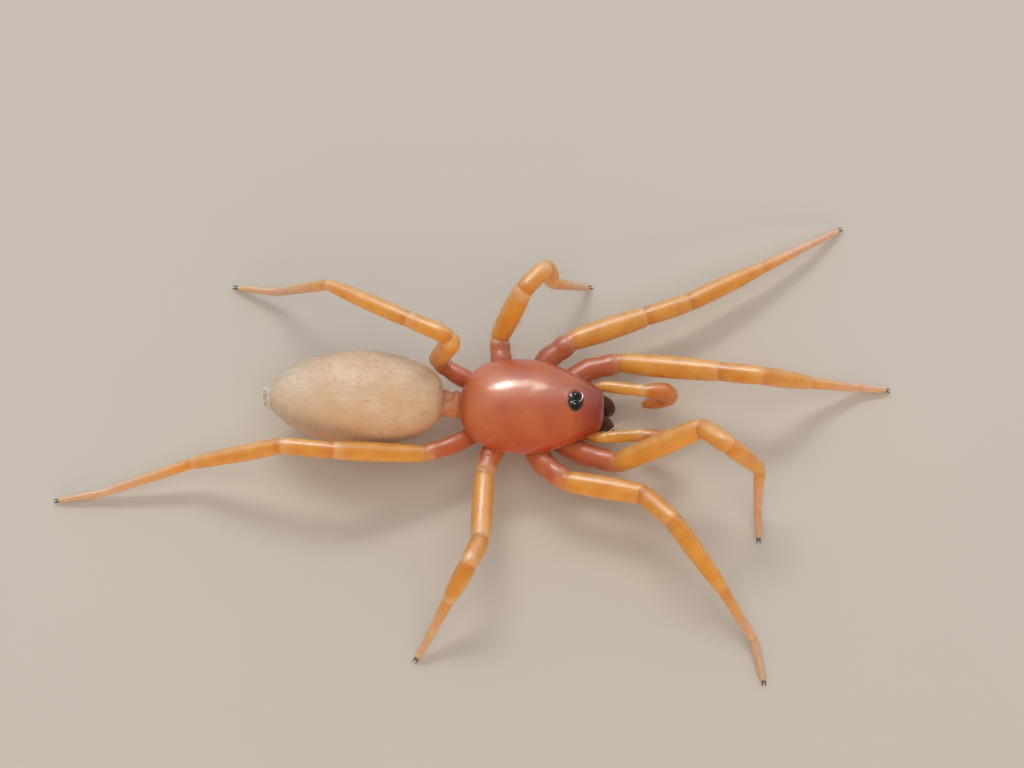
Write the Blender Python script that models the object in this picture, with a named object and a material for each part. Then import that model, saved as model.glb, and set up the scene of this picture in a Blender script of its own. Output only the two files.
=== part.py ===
"""A small orange ground spider, six millimetres long, standing with its legs spread.

The head points along +X, the spider's left side along +Y and up is +Z. Every size
below is in millimetres, and place() turns the finished shapes into metres. The
feet stand on the floor at z = 0, and the origin is under the middle of the whole
animal with its legs.
"""
import math

import bmesh
import bpy
from mathutils import Matrix, Vector

MM = 0.001
GAP = 0.02                      # kept between two nodes that meet
WELD = 0.0001
UP = Vector((0, 0, 1))
SIDES = {"left": 1, "right": -1}

# Carapace, the shield over the front half of the body
CARAPACE_REAR = -1.28
CARAPACE_WIDEST = -0.15
CARAPACE_FRONT = 1.30
CARAPACE_HALF_WIDTH = 0.885
CARAPACE_RIM = 0.97
CARAPACE_DOME = 0.53
CARAPACE_NARROWING = 0.62       # share of its width that it loses towards the front
CARAPACE_FALL = 0.30            # share of its height that it loses towards the front
CARAPACE_PLAN_POWER = 2.5       # how square the rear is from above
CARAPACE_SIDE_POWER = 2.3       # and from the side
CARAPACE_EDGE = 0.05            # length of the rounding at the front edge
CARAPACE_EDGE_WIDTH = 0.78
CARAPACE_EDGE_HEIGHT = 0.80
CARAPACE_STATIONS = 16
CARAPACE_SIDES = 36

# Eyes, a close pair on the front of the shield
EYE_RADIUS = 0.085
EYE_X = 0.78
EYE_Y = 0.105
EYE_Z = 1.405
SOCKET_RADIUS = EYE_RADIUS + 0.015

# Underside of the front half
STERNUM_REAR = -1.26
STERNUM_FRONT = 0.80
STERNUM_HALF_WIDTH = 0.42
STERNUM_MIDDLE = 0.80
STERNUM_HALF_HEIGHT = 0.28
STERNUM_TOP = CARAPACE_RIM - GAP
STERNUM_WIDEST = -0.15
STERNUM_TAPER = 0.68            # share of its width that it loses towards both ends
STERNUM_NARROWEST = 0.30
STERNUM_LEAST_HEIGHT = 0.55
STERNUM_STATIONS = 10
STERNUM_SIDES = 20

# Abdomen and what joins it to the front half
ABDOMEN_FRONT = -1.58
ABDOMEN_WIDEST = -3.00
ABDOMEN_REAR = -4.70
ABDOMEN_HALF_WIDTH = 0.85
ABDOMEN_HALF_HEIGHT = 0.75
ABDOMEN_Y = 0.03
ABDOMEN_Z = 1.0
ABDOMEN_TURN = math.radians(2)
ABDOMEN_BLUNTNESS = 0.11        # how far the rounding would run past the cut front
ABDOMEN_FRONT_POWER = 2.0
ABDOMEN_REAR_POWER = 1.9
ABDOMEN_STATIONS = 18
ABDOMEN_SIDES = 28
PEDICEL_HALF_WIDTH = 0.25
PEDICEL_HALF_HEIGHT = 0.17
PEDICEL_WAIST = 0.90
PEDICEL_Z = 0.84
SPINNERET_LENGTH = 0.12
SPINNERET_BASE = (0.08, 0.36, 0.20)
SPINNERET_SPACING = 0.09
SPINNERET_SWELL = 1.08
SPINNERET_TIP = 0.55
SPINNERET_DROP = 0.08
SPINNERET_SET_BACK = 0.03

# Legs: lengths of femur, patella, tibia, metatarsus and tarsus
LEG_LENGTHS = {
    1: (1.84, 0.75, 1.18, 1.00, 0.57),
    2: (1.41, 0.84, 1.54, 1.08, 0.76),
    3: (1.32, 0.64, 0.84, 0.74, 0.50),
    4: (1.70, 0.93, 1.80, 1.72, 0.85),
}
LEG_THICKNESS = {1: 1.0, 2: 1.0, 3: 0.90, 4: 0.80}
COXA_BASE_X = {1: 0.38, 2: -0.06, 3: -0.50, 4: -0.90}
COXA_BASE_Y = {1: 0.45, 2: 0.45, 3: 0.45, 4: 0.41}
COXA_BASE_Z = 0.66
COXA_RISE = 6                   # pitch in degrees at which the coxa reaches the femur
COXA_CURVE = 0.45               # share of its length over which it turns there

# Where each leg's femur starts, and the heading of the coxa as it gets there
HIP = {
    ("left", 1): ((1.55, 1.00, 0.80), 14),
    ("left", 2): ((0.65, 1.36, 0.82), 40),
    ("left", 3): ((-0.66, 1.36, 0.82), 98),
    ("left", 4): ((-1.77, 0.84, 0.80), 150),
    ("right", 1): ((1.59, -0.905, 0.80), -14),
    ("right", 2): ((0.68, -1.30, 0.82), -38),
    ("right", 3): ((-0.77, -1.27, 0.82), -104),
    ("right", 4): ((-1.85, -0.95, 0.84), -156),
}

# Azimuth and pitch in degrees of femur, patella, tibia and metatarsus, and the
# azimuth of the tarsus, whose pitch follows from where the floor is
LEG_POSE = {
    ("left", 1): ((-7, 14), (-6, 9), (12, -39), (8, -27), 2),
    ("left", 2): ((24, -3), (24, -4), (32, -6), (35, -12), 37),
    ("left", 3): ((50, 62), (54, -8), (4, -80), (27, -54), 28),
    ("left", 4): ((-25, 76), (155, -13), (153, -17), (162, -52), 169),
    ("right", 1): ((15, 36), (-41, 28), (-3, -61), (-86, -65), -84),
    ("right", 2): ((-9, 7), (-45, 22), (-47, -25), (-51, -27), -74),
    ("right", 3): ((-89, 11), (-108, 25), (-123, -44), (-118, -33), -122),
    ("right", 4): ((-172, 19), (177, -3), (-174, -25), (-162, -14), -169),
}
TIP_HEIGHT = 0.058

# Half thickness along each part of a leg, at these shares of its length
SHARES = (0.0, 0.22, 0.5, 0.78, 1.0)
FEMUR_RADII = (0.18, 0.215, 0.22, 0.21, 0.18)
PATELLA_RADII = (0.17, 0.19, 0.195, 0.19, 0.17)
TIBIA_RADII = (0.165, 0.18, 0.185, 0.175, 0.15)
METATARSUS_RADII = (0.14, 0.145, 0.14, 0.13, 0.12)
TARSUS_RADII = (0.115, 0.12, 0.11, 0.10, 0.08)
COXA_SHARES = (0.0, 0.2, 0.45, 0.66, 0.76, 0.88, 1.0)
COXA_RADII = (0.18, 0.21, 0.23, 0.225, 0.205, 0.22, 0.185)
LEG_SIDES = 14

# Palps: the points of the left one, mirrored for the right one
PALP_POINTS = ((1.05, 0.43, 0.82), (1.26, 0.49, 0.94), (2.00, 0.42, 1.00),
               (2.45, 0.46, 0.92), (2.42, 0.42, 0.58), (1.95, 0.35, 0.42))
PALP_RADII = (0.08, 0.10, 0.135, 0.175, 0.175, 0.10)

# Mouthparts: points and half sizes of the left ones
CHELICERA_POINTS = ((1.10, 0.18, 0.95), (1.20, 0.185, 0.87), (1.30, 0.185, 0.73),
                    (1.35, 0.18, 0.57), (1.34, 0.17, 0.45))
CHELICERA_RADII = (0.14, 0.165, 0.17, 0.15, 0.11)
ENDITE_POINTS = ((0.68, 0.27, 0.62), (0.82, 0.25, 0.58), (0.94, 0.20, 0.55))
ENDITE_RADII = (0.10, 0.13, 0.09)
FANG_LENGTH = 0.22
FANG_RADIUS = 0.05
FANG_TAPER = 0.8
FANG_CURL = (-0.50, -0.60, 0)   # how the left one bends backwards and inwards
JAW_SIDES = 16
FANG_SIDES = 10


def mirrored(point, sign):
    """Gives a left-hand point to the side that the sign stands for."""
    return Vector((point[0], point[1] * sign, point[2]))


def heading(azimuth, pitch=0):
    """Gives the unit direction of an azimuth and a pitch in degrees."""
    turn, rise = math.radians(azimuth), math.radians(pitch)
    flat = math.cos(rise)
    return Vector((math.cos(turn) * flat, math.sin(turn) * flat, math.sin(rise)))


def ring(centre, forward, half_width, half_height, side=Vector((0, 1, 0))):
    """Gives the matrix that lays a unit circle at the centre, facing forward."""
    normal = forward.normalized()
    across = (side - normal * side.dot(normal)).normalized()
    upright = normal.cross(across)
    turn = Matrix((across * half_width, upright * half_height, normal)).transposed()
    return Matrix.Translation(centre) @ turn.to_4x4()


def loft(rings, sides):
    """Joins one circle per ring into a closed body with flat ends."""
    shape = bmesh.new()
    loops = []
    for number, station in enumerate(rings):
        is_end = number in (0, len(rings) - 1)
        made = bmesh.ops.create_circle(shape, segments=sides, radius=1,
                                       cap_ends=is_end, matrix=station)
        corners = set(made["verts"])
        edges = {edge for corner in corners for edge in corner.link_edges}
        loops.append([edge for edge in edges if set(edge.verts) <= corners])
    for near, far in zip(loops, loops[1:]):
        bmesh.ops.bridge_loops(shape, edges=near + far)
    bmesh.ops.recalc_face_normals(shape, faces=shape.faces)
    return shape


def rounded(share, power):
    """Gives the height of a rounded end at a share of the way to its tip."""
    return (1 - share ** power) ** (1 / power)


def keep_one_side(shape, point, normal):
    """Cuts a shape flat by a plane and keeps what lies behind its normal."""
    geometry = shape.verts[:] + shape.edges[:] + shape.faces[:]
    cut = bmesh.ops.bisect_plane(shape, geom=geometry, dist=WELD, plane_co=point,
                                 plane_no=normal, clear_outer=True)
    edges = [item for item in cut["geom_cut"] if isinstance(item, bmesh.types.BMEdge)]
    if edges:
        bmesh.ops.contextual_create(shape, geom=edges)
        bmesh.ops.recalc_face_normals(shape, faces=shape.faces)


def material(name, colour, roughness):
    """Makes a plain finish from an sRGB hex colour."""
    finish = bpy.data.materials.new(name)
    finish.use_nodes = True
    channels = [int(colour[start:start + 2], 16) / 255 for start in (0, 2, 4)]
    linear = [((value + 0.055) / 1.055) ** 2.4 for value in channels]
    shader = finish.node_tree.nodes["Principled BSDF"]
    shader.inputs["Base Color"].default_value = (*linear, 1)
    shader.inputs["Roughness"].default_value = roughness
    shader.inputs["Metallic"].default_value = 0
    return finish


def place(name, shape, parent, colour, location=(0, 0, 0), rotation=(0, 0, 0),
          roughness=0.4):
    """Turns a shape in millimetres into a named object in metres."""
    shape.transform(Matrix.Scale(MM, 4))
    mesh = bpy.data.meshes.new(name)
    shape.to_mesh(mesh)
    shape.free()
    mesh.materials.append(material(name + "_finish", colour, roughness))
    mesh.shade_smooth()
    mesh.set_sharp_from_angle(angle=math.radians(50))
    thing = bpy.data.objects.new(name, mesh)
    bpy.context.scene.collection.objects.link(thing)
    thing.location = Vector(location) * MM
    thing.rotation_euler = rotation
    thing.parent = parent
    return thing


def carapace_size(x):
    """Gives the shield's half width and the height of its dome at x."""
    if x < CARAPACE_WIDEST:
        share = (CARAPACE_WIDEST - x) / (CARAPACE_WIDEST - CARAPACE_REAR)
        width = rounded(share, CARAPACE_PLAN_POWER)
        height = rounded(share, CARAPACE_SIDE_POWER)
    else:
        share = (x - CARAPACE_WIDEST) / (CARAPACE_FRONT - CARAPACE_WIDEST)
        width = 1 - CARAPACE_NARROWING * (1 - math.cos(share * math.pi / 2))
        height = 1 - CARAPACE_FALL * share ** 3
    return CARAPACE_HALF_WIDTH * width, CARAPACE_DOME * height


def cosine_stations(start, end, count, first=0.02, last=0.98):
    """Spreads places from start to end, closer together at both ends."""
    shares = [first + (last - first) * step / (count - 1) for step in range(count)]
    return [start + (end - start) * (1 - math.cos(math.pi * share)) / 2 for share in shares]


def carapace_shape():
    """Makes the domed shield, flat below, with a blunt front."""
    rings = []
    forward = Vector((1, 0, 0))
    front = CARAPACE_FRONT - CARAPACE_EDGE
    for x in cosine_stations(CARAPACE_REAR, front, CARAPACE_STATIONS, 0.05, 1.0):
        width, height = carapace_size(x)
        rings.append(ring(Vector((x, 0, CARAPACE_RIM)), forward, width, height))
    width, height = carapace_size(CARAPACE_FRONT)
    rings.append(ring(Vector((CARAPACE_FRONT, 0, CARAPACE_RIM)), forward,
                      width * CARAPACE_EDGE_WIDTH, height * CARAPACE_EDGE_HEIGHT))
    shape = loft(rings, CARAPACE_SIDES)
    keep_one_side(shape, (0, 0, CARAPACE_RIM), (0, 0, -1))
    return shape


def sternum_half_width(x):
    """Gives the half width of the underside at x, narrow behind and in front."""
    end = STERNUM_FRONT if x > STERNUM_WIDEST else STERNUM_REAR
    share = (x - STERNUM_WIDEST) / (end - STERNUM_WIDEST)
    return STERNUM_HALF_WIDTH * max(1 - STERNUM_TAPER * share ** 3, STERNUM_NARROWEST)


def sternum_shape():
    """Makes the block that the legs grow from, flat where the shield covers it."""
    forward = Vector((1, 0, 0))
    rings = []
    growth = 1 - STERNUM_LEAST_HEIGHT
    for x in cosine_stations(STERNUM_REAR, STERNUM_FRONT, STERNUM_STATIONS, 0.0, 1.0):
        width = sternum_half_width(x)
        share = STERNUM_LEAST_HEIGHT + growth * width / STERNUM_HALF_WIDTH
        height = STERNUM_HALF_HEIGHT * share
        rings.append(ring(Vector((x, 0, STERNUM_MIDDLE)), forward, width, height))
    shape = loft(rings, STERNUM_SIDES)
    keep_one_side(shape, (0, 0, STERNUM_TOP), (0, 0, 1))
    return shape


def abdomen_size(x):
    """Gives the share of its full width that the abdomen has at x."""
    if x < ABDOMEN_WIDEST:
        share = (ABDOMEN_WIDEST - x) / (ABDOMEN_WIDEST - ABDOMEN_REAR)
        return rounded(share, ABDOMEN_REAR_POWER)
    share = (x - ABDOMEN_WIDEST) / (ABDOMEN_FRONT + ABDOMEN_BLUNTNESS - ABDOMEN_WIDEST)
    return rounded(share, ABDOMEN_FRONT_POWER)


def abdomen_shape():
    """Makes the egg-shaped abdomen with a blunt front."""
    forward = Vector((1, 0, 0))
    rings = []
    for x in cosine_stations(ABDOMEN_REAR, ABDOMEN_FRONT, ABDOMEN_STATIONS, 0.05, 1.0):
        size = abdomen_size(x)
        rings.append(ring(Vector((x - ABDOMEN_FRONT, 0, 0)), forward,
                          ABDOMEN_HALF_WIDTH * size, ABDOMEN_HALF_HEIGHT * size))
    return loft(rings, ABDOMEN_SIDES)


def spinnerets_shape():
    """Makes the silk tubes: four in a row across and two below them."""
    shape = bmesh.new()
    block = Matrix.Diagonal((*SPINNERET_BASE, 1))
    bmesh.ops.create_cube(shape, size=1, matrix=block)
    across = (-SPINNERET_SPACING, 0, SPINNERET_SPACING)
    for axis, places in (((0, 1, 0), across), ((0, 0, 1), (0,))):
        for shift in places:
            geometry = shape.verts[:] + shape.edges[:] + shape.faces[:]
            bmesh.ops.bisect_plane(shape, geom=geometry, dist=WELD,
                                   plane_co=Vector(axis) * shift, plane_no=axis)
    rear = [face for face in shape.faces if face.normal.x < -0.9]
    tubes = [face for face in rear if face.calc_center_median().z > 0
             or abs(face.calc_center_median().y) < SPINNERET_SPACING]
    bmesh.ops.inset_individual(shape, faces=tubes, thickness=GAP / 2)
    for tube in tubes:
        for scale in (SPINNERET_SWELL, SPINNERET_TIP):
            grown = bmesh.ops.extrude_discrete_faces(shape, faces=[tube])["faces"]
            tube = grown[0]
            bmesh.ops.translate(shape, verts=tube.verts,
                                vec=(-SPINNERET_LENGTH / 2, 0, -GAP / 2))
            centre = tube.calc_center_median()
            bmesh.ops.scale(shape, verts=tube.verts, vec=(1, scale, scale),
                            space=Matrix.Translation(-centre))
    return shape


def tube(points, radii, sides, first=None, last=None):
    """Sweeps a round tube along points, with the end faces turned as asked."""
    rings = []
    for number, point in enumerate(points):
        before = points[max(number - 1, 0)]
        after = points[min(number + 1, len(points) - 1)]
        forward = after - before
        if number == 0 and first is not None:
            forward = first
        if number == len(points) - 1 and last is not None:
            forward = last
        side = UP.cross(points[-1] - points[0]).normalized()
        rings.append(ring(point, forward, radii[number], radii[number], side))
    return loft(rings, sides)


def along(points, share):
    """Gives the point at a share of a curve with one control point."""
    start, control, end = points
    rest = 1 - share
    return start * rest * rest + control * 2 * rest * share + end * share * share


def lean(face, forward, radius):
    """Tells how far a tilted end face leans along a part of that radius."""
    straight = face.normalized().dot(forward.normalized())
    return radius * math.sqrt(1 - straight ** 2) / straight + GAP


def segment_rings(length, radii, start_face, end_face):
    """Gives the rings of a straight leg part that points along its own +X."""
    forward = Vector((1, 0, 0))
    rings = [ring(Vector((0, 0, 0)), start_face, radii[0], radii[0])]
    for share, radius in zip(SHARES[1:-1], radii[1:-1]):
        nearest = lean(start_face, forward, radius)
        furthest = length - lean(end_face, forward, radius)
        x = min(max(length * share, nearest), furthest)
        rings.append(ring(Vector((x, 0, 0)), forward, radius, radius))
    rings.append(ring(Vector((length, 0, 0)), end_face, radii[-1], radii[-1]))
    return rings


def joint_face(turn, before, after):
    """Gives the plane that halves the bend of two directions, in a part's own axes."""
    middle = before.normalized() + after.normalized()
    return turn.inverted() @ middle.normalized()


def make_leg(side, number, parent):
    """Builds one leg in its pose: coxa, femur, patella, tibia and foot."""
    sign = SIDES[side]
    name = f"leg_{side}_{number}_"
    thick = LEG_THICKNESS[number]
    hip, coxa_heading = HIP[side, number]
    hip = Vector(hip)
    *poses, tarsus_azimuth = LEG_POSE[side, number]
    lengths = LEG_LENGTHS[number]
    directions = [heading(*pose) for pose in poses]
    joints = [hip]
    for direction, length in zip(directions, lengths):
        joints.append(joints[-1] + direction * length)
    fall = math.degrees(math.asin((TIP_HEIGHT - joints[-1].z) / lengths[4]))
    directions.append(heading(tarsus_azimuth, fall))

    base = Vector((COXA_BASE_X[number], COXA_BASE_Y[number] * sign, COXA_BASE_Z))
    arrival = heading(coxa_heading, COXA_RISE)
    curve = (base, hip - arrival * COXA_CURVE * (hip - base).length, hip)
    face = arrival + directions[0]
    points, radii = [], []
    for share, radius in zip(COXA_SHARES, COXA_RADII):
        point = along(curve, share)
        if share == 1 or (hip - point).length > lean(face, arrival, radius * thick):
            points.append(point)
            radii.append(radius * thick)
    points[-1] = points[-1] - face.normalized() * GAP / 2
    coxa = tube(points, radii, LEG_SIDES, first=Vector((0, sign, 0)), last=face)
    place(name + "coxa", coxa, parent, "B9694F")

    parts = (("femur", FEMUR_RADII), ("patella", PATELLA_RADII), ("tibia", TIBIA_RADII))
    before = arrival
    for index, (part, radii) in enumerate(parts):
        direction = directions[index]
        turn = direction.to_track_quat("X", "Z").to_matrix()
        start_face = joint_face(turn, before, direction)
        end_face = joint_face(turn, direction, directions[index + 1])
        radii = [radius * thick for radius in radii]
        rings = segment_rings(lengths[index], radii, start_face, end_face)
        rings[0].translation += start_face * GAP / 2
        rings[-1].translation -= end_face * GAP / 2
        place(name + part, loft(rings, LEG_SIDES), parent, "D08A43",
              location=joints[index], rotation=turn.to_euler())
        before = direction

    direction, toe = directions[3], directions[4]
    turn = direction.to_track_quat("X", "Z").to_matrix()
    start_face = joint_face(turn, before, direction)
    end_face = joint_face(turn, direction, toe)
    radii = [radius * thick for radius in METATARSUS_RADII]
    rings = segment_rings(lengths[3], radii, start_face, end_face)
    rings[0].translation += start_face * GAP / 2
    toe_local = turn.inverted() @ toe
    for share, radius in zip(SHARES[1:], TARSUS_RADII[1:]):
        centre = Vector((lengths[3], 0, 0)) + toe_local * lengths[4] * share
        rings.append(ring(centre, toe_local, radius * thick, radius * thick))
    foot = loft(rings, LEG_SIDES)
    keep_one_side(foot, turn.inverted() @ Vector((0, 0, -joints[3].z)),
                  turn.inverted() @ Vector((0, 0, -1)))
    place(name + "foot", foot, parent, "D9A05F", location=joints[3],
          rotation=turn.to_euler())


def make_palp(side, parent):
    """Builds one feeler beside the mouth: femur, shank and tarsus."""
    sign = SIDES[side]
    points = [mirrored(point, sign) for point in PALP_POINTS]
    ends = {"femur": (0, 2), "shank": (2, 4), "tarsus": (4, 5)}
    for part, (first, last) in ends.items():
        path = points[first:last + 1]
        radii = list(PALP_RADII[first:last + 1])
        start_face = points[first + 1] - points[max(first - 1, 0)]
        end_face = points[min(last + 1, 5)] - points[last - 1]
        path[0] = path[0] + start_face.normalized() * GAP / 2
        path[-1] = path[-1] - end_face.normalized() * GAP / 2
        if len(path) == 2:
            path.insert(1, (path[0] + path[1]) / 2)
            radii.insert(1, radii[0])
        shape = tube(path, radii, LEG_SIDES, first=start_face, last=end_face)
        place(f"palp_{side}_{part}", shape, parent, "CC7A45")


def make_mouthparts(side, parent):
    """Builds one jaw with its fang, and the plate behind it."""
    sign = SIDES[side]
    points = [mirrored(point, sign) for point in CHELICERA_POINTS]
    jaw = tube(points, CHELICERA_RADII, JAW_SIDES, first=-UP)
    place(f"chelicera_{side}", jaw, parent, "8A2F22")

    tip = points[-1]
    down = (points[-1] - points[-2]).normalized()
    root = tip + down * GAP
    curl = mirrored(FANG_CURL, sign)
    shares = [step / 4 for step in range(5)]
    fang_points = [root + (down + curl * share) * FANG_LENGTH * share for share in shares]
    fang_radii = [FANG_RADIUS * (1 - FANG_TAPER * share) for share in shares]
    fang = tube(fang_points, fang_radii, FANG_SIDES, first=down)
    place(f"fang_{side}", fang, parent, "4A1512", roughness=0.25)

    plate_points = [mirrored(point, sign) for point in ENDITE_POINTS]
    plate = tube(plate_points, ENDITE_RADII, JAW_SIDES)
    place(f"endite_{side}", plate, parent, "B4583C")


def make_eye(side, parent):
    """Builds one eye and the round cutter that sinks it in the shield."""
    centre = mirrored((EYE_X, EYE_Y, EYE_Z), SIDES[side])
    ball = bmesh.new()
    bmesh.ops.create_uvsphere(ball, u_segments=16, v_segments=10, radius=EYE_RADIUS)
    place(f"eye_{side}", ball, parent, "0D0B0C", location=centre, roughness=0.05)
    socket = bmesh.new()
    bmesh.ops.create_uvsphere(socket, u_segments=16, v_segments=10, radius=SOCKET_RADIUS)
    cutter = place(f"socket_{side}", socket, parent, "0D0B0C", location=centre)
    cutter.hide_render = True
    cutter.display_type = "WIRE"
    return cutter


def centre_over_feet(root):
    """Moves the whole animal until the origin is under the middle of its box."""
    bpy.context.view_layer.update()
    corners = [thing.matrix_world @ Vector(corner) for thing in root.children_recursive
               if not thing.hide_render for corner in vertices(thing)]
    for axis in (0, 1):
        lowest = min(corner[axis] for corner in corners)
        highest = max(corner[axis] for corner in corners)
        root.location[axis] = -(lowest + highest) / 2


def vertices(thing):
    """Lists the places of a mesh object's corners in its own axes."""
    return [corner.co for corner in thing.data.vertices]


def main():
    for thing in list(bpy.data.objects):
        bpy.data.objects.remove(thing, do_unlink=True)
    root = bpy.data.objects.new("spider", None)
    bpy.context.scene.collection.objects.link(root)

    shield = place("carapace", carapace_shape(), root, "C4603F", roughness=0.25)
    for side in SIDES:
        cut = shield.modifiers.new(f"socket_{side}", "BOOLEAN")
        cut.operation = "DIFFERENCE"
        cut.solver = "EXACT"
        cut.object = make_eye(side, root)
    place("sternum", sternum_shape(), root, "B65A3C")
    waist = []
    for x, size in ((STERNUM_REAR - GAP, 1.0),
                    ((STERNUM_REAR + ABDOMEN_FRONT) / 2, PEDICEL_WAIST),
                    (ABDOMEN_FRONT + GAP, 1.0)):
        waist.append(ring(Vector((x, 0, PEDICEL_Z)), Vector((-1, 0, 0)),
                          PEDICEL_HALF_WIDTH * size, PEDICEL_HALF_HEIGHT * size))
    place("pedicel", loft(waist, LEG_SIDES), root, "D9A27E")
    turn = (0, 0, ABDOMEN_TURN)
    abdomen = place("abdomen", abdomen_shape(), root, "D2B596", roughness=0.7,
                    location=(ABDOMEN_FRONT, ABDOMEN_Y, ABDOMEN_Z), rotation=turn)
    place("spinnerets", spinnerets_shape(), abdomen, "D8BD9C",
          location=(ABDOMEN_REAR - SPINNERET_SET_BACK - ABDOMEN_FRONT, 0,
                    -SPINNERET_DROP))
    for side in SIDES:
        make_mouthparts(side, root)
        make_palp(side, root)
        for number in LEG_LENGTHS:
            make_leg(side, number, root)
    centre_over_feet(root)


main()
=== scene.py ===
# %% [markdown]
# # A small orange ground spider
# The object is a living spider of six millimetres, Orthonops icenoglei, that stands
# with its legs spread. Its solids come packed, as a fixed frame with one node for each
# part of the body. This lesson dresses them: every leg gets one continuous skin, the
# shield and the abdomen get fine surfaces, and eyes, claws and hairs are added. All of
# it is built from the same named sizes as the solids, so each piece lies where its
# solid is and nothing has to be fitted by hand.

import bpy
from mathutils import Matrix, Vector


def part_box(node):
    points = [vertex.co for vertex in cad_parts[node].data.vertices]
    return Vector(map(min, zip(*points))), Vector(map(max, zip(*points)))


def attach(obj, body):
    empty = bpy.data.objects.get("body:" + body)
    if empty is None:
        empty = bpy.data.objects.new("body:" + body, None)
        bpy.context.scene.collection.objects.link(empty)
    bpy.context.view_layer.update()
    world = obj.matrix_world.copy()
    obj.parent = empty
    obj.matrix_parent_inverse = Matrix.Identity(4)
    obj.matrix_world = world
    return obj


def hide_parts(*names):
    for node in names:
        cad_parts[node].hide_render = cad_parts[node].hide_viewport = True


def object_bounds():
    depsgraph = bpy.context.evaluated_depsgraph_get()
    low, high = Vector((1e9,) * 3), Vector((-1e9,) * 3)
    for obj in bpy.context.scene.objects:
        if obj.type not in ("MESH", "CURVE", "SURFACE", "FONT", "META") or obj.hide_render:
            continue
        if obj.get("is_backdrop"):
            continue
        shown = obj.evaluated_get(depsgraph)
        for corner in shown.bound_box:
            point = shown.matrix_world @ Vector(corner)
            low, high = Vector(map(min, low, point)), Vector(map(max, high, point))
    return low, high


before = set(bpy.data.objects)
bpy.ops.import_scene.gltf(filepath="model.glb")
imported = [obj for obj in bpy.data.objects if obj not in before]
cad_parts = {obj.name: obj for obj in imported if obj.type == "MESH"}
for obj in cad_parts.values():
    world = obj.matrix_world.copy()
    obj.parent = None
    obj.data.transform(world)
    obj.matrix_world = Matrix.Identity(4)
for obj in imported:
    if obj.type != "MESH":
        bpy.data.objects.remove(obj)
solids_box = [list(corner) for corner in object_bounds()]
print("solids:", len(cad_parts), "nodes, from", solids_box[0], "to", solids_box[1])

# %% The libraries of the lesson
import math
from bisect import bisect_right

import bmesh
import bpy
import numpy as np
from mathutils import Matrix, Vector, noise

collection = bpy.context.scene.collection
print("Blender", bpy.app.version_string)

# %% [markdown]
# ## Working in millimetres
# A spider this small is awkward to model in metres, because operators that merge near
# points would merge whole legs. Every shape is therefore built in millimetres in the
# spider's own axes: the head points along +X, the left side along +Y and up is +Z. One
# matrix then takes a finished shape into the frame. The left eye's node tells where
# the spider's own zero lies in the frame, because the eye's centre is a named size.

# %% From the spider's millimetres to the frame
MM = 0.001
UP = Vector((0, 0, 1))
SIDES = {"left": 1, "right": -1}
EYE_CENTRE = Vector((0.78, 0.105, 1.405))

eye_low, eye_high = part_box("eye_left")
ZERO = (eye_low + eye_high) / 2 / MM - EYE_CENTRE
TO_FRAME = Matrix.Scale(MM, 4) @ Matrix.Translation(ZERO)
print("the spider's zero is at", [round(value, 3) for value in ZERO], "mm in the frame")

# %% [markdown]
# ## Camera
# The photograph looks down on the spider at seventy degrees, from its right side, with
# the head to the right. Close-up pictures have very little perspective, so the camera
# stands seventy millimetres away with a long lens. The point where the middle of the
# shield shows in the picture fixes where the camera aims.

# %% Camera at the photograph's angle
PICTURE = (1024, 768)
CAMERA_AZIMUTH = math.radians(3.5)
CAMERA_ELEVATION = math.radians(70)
CAMERA_DISTANCE = 70
PIXELS_PER_MM = 56
BODY_PIXEL = (531.5, 407.5)
BODY_HEIGHT = 0.95
SENSOR = 36

flat = math.cos(CAMERA_ELEVATION)
right = Vector((math.cos(CAMERA_AZIMUTH), math.sin(CAMERA_AZIMUTH), 0))
back = Vector((math.sin(CAMERA_AZIMUTH) * flat, -math.cos(CAMERA_AZIMUTH) * flat,
               math.sin(CAMERA_ELEVATION)))
upward = back.cross(right)
aim = ZERO + UP * BODY_HEIGHT
aim += right * (PICTURE[0] / 2 - BODY_PIXEL[0]) / PIXELS_PER_MM
aim += upward * (BODY_PIXEL[1] - PICTURE[1] / 2) / PIXELS_PER_MM

lens = bpy.data.cameras.new("camera")
lens.sensor_width = SENSOR
lens.lens = SENSOR * CAMERA_DISTANCE * PIXELS_PER_MM / PICTURE[0]
lens.clip_start = MM
lens.clip_end = 10
camera = bpy.data.objects.new("camera", lens)
camera.location = (aim + back * CAMERA_DISTANCE) * MM
camera.rotation_euler = back.to_track_quat("Z", "Y").to_euler()
collection.objects.link(camera)
bpy.context.scene.camera = camera
print("lens", round(lens.lens, 1), "mm")

# %% [markdown]
# ## Finishes
# Each finish is a network of small nodes. The functions below turn hex colours into the
# linear values that light needs, add one node with its settings and links, and lay
# colours over one another. All patterns read the object's own coordinates, turned into
# the spider's millimetres, so a pattern's scale is one over the size of its grains.

# %% Helpers for finishes
FACTOR, FIRST, SECOND, MIXED = 0, 6, 7, 2       # sockets of a colour mix


def colour(text):
    """Turns an sRGB hex colour into linear light."""
    channels = [int(text[start:start + 2], 16) / 255 for start in (0, 2, 4)]
    linear = [value / 12.92 if value <= 0.04045 else ((value + 0.055) / 1.055) ** 2.4
              for value in channels]
    return (*linear, 1)


def add_node(tree, kind, output, values=None, links=None, **settings):
    """Adds a shader node with its settings, values and links, and gives one output."""
    node = tree.nodes.new("ShaderNode" + kind)
    for key, value in settings.items():
        setattr(node, key, value)
    for socket, value in (values or {}).items():
        node.inputs[socket].default_value = value
    for socket, source in (links or {}).items():
        tree.links.new(source, node.inputs[socket])
    return node.outputs[output]


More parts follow.
